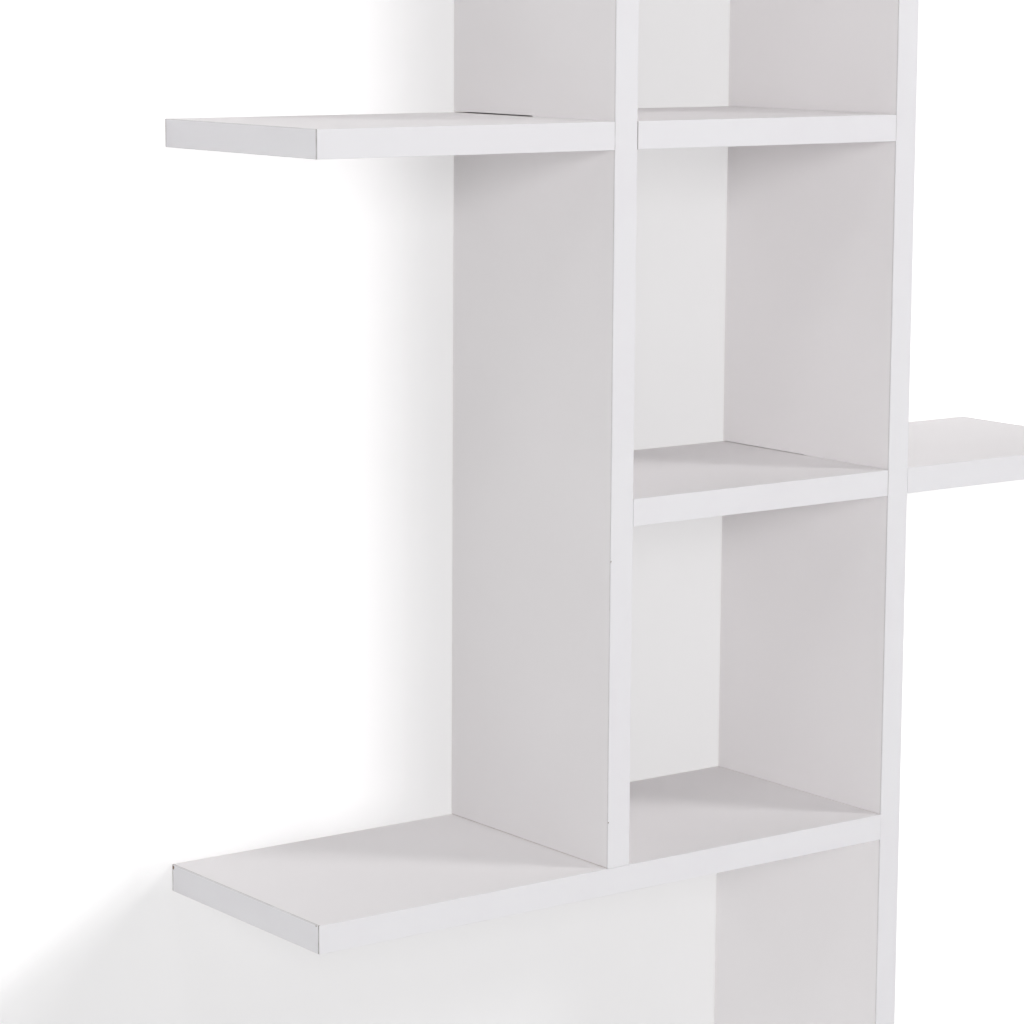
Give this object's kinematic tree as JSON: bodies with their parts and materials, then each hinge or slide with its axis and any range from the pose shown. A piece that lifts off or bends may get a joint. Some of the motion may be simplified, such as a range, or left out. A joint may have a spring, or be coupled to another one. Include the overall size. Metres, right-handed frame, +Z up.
{
  "type": "wall shelf",
  "caption": "White wall-hung shelf unit: uprights crossed by shelves that overhang left and right in turn, with half-lap joints, hidden cam fittings and keyhole hangers.",
  "frame": {"origin": "middle of the rectangle of the four hanger entries, on the wall plane", "axes": "+Z up, +X to the right seen from the front, +Y into the wall; the unit stands out towards -Y"},
  "size_m": [0.711, 0.175, 1.197],
  "materials": {
    "melamine_board": "white melamine faces with a fine matt texture, raw chipboard where it is cut",
    "edge_band": "satin white plastic edge band",
    "die_cast_zinc": "dull die-cast zinc",
    "plated_steel": "bright zinc-plated steel",
    "beech": "bare fluted beech"
  },
  "bodies": {
    "shelf_unit": {"shelf_bottom": "melamine_board", "shelf_bottom_front_band": "edge_band", "shelf_bottom_end_band": "edge_band", "shelf_lower": "melamine_board", "shelf_lower_front_band": "edge_band", "shelf_lower_end_band": "edge_band", "shelf_upper": "melamine_board", "shelf_upper_front_band": "edge_band", "shelf_upper_end_band": "edge_band", "shelf_top": "melamine_board", "shelf_top_front_band": "edge_band", "shelf_top_end_band": "edge_band", "upright_left": "melamine_board", "upright_left_front_band": "edge_band", "upright_left_end_band": "edge_band", "upright_right": "melamine_board", "upright_right_front_band": "edge_band", "upright_right_end_band": "edge_band", "cam_bolts": "plated_steel", "dowels": "beech", "hanger_plate_lower_left": "plated_steel", "hanger_plate_lower_right": "plated_steel", "hanger_plate_upper_left": "plated_steel", "hanger_plate_upper_right": "plated_steel", "hanger_screws": "plated_steel"},
    "cam_lock_shelf_bottom": {"cam_lock_shelf_bottom": "die_cast_zinc"},
    "cam_lock_shelf_lower": {"cam_lock_shelf_lower": "die_cast_zinc"},
    "cam_lock_shelf_upper": {"cam_lock_shelf_upper": "die_cast_zinc"},
    "cam_lock_shelf_top": {"cam_lock_shelf_top": "die_cast_zinc"},
    "cam_lock_upright_left": {"cam_lock_upright_left": "die_cast_zinc"},
    "cam_lock_upright_right": {"cam_lock_upright_right": "die_cast_zinc"}
  },
  "joints": [
    {"name": "cam_turn_shelf_bottom", "type": "hinge", "parent": "shelf_unit", "child": "cam_lock_shelf_bottom", "pos_m": [0.0783, -0.0875, -0.3645], "axis": [0, 0, -1], "range_deg": [0, 180]},
    {"name": "cam_turn_shelf_lower", "type": "hinge", "parent": "shelf_unit", "child": "cam_lock_shelf_lower", "pos_m": [-0.0783, -0.0875, -0.1215], "axis": [0, 0, -1], "range_deg": [0, 180]},
    {"name": "cam_turn_shelf_upper", "type": "hinge", "parent": "shelf_unit", "child": "cam_lock_shelf_upper", "pos_m": [0.0783, -0.0875, 0.1215], "axis": [0, 0, -1], "range_deg": [0, 180]},
    {"name": "cam_turn_shelf_top", "type": "hinge", "parent": "shelf_unit", "child": "cam_lock_shelf_top", "pos_m": [-0.0783, -0.0875, 0.3645], "axis": [0, 0, -1], "range_deg": [0, 180]},
    {"name": "cam_turn_upright_left", "type": "hinge", "parent": "shelf_unit", "child": "cam_lock_upright_left", "pos_m": [-0.1215, -0.0875, -0.3213], "axis": [1, 0, 0], "range_deg": [0, 180]},
    {"name": "cam_turn_upright_right", "type": "hinge", "parent": "shelf_unit", "child": "cam_lock_upright_right", "pos_m": [0.1215, -0.0875, 0.3213], "axis": [-1, 0, 0], "range_deg": [0, 180]}
  ]
}
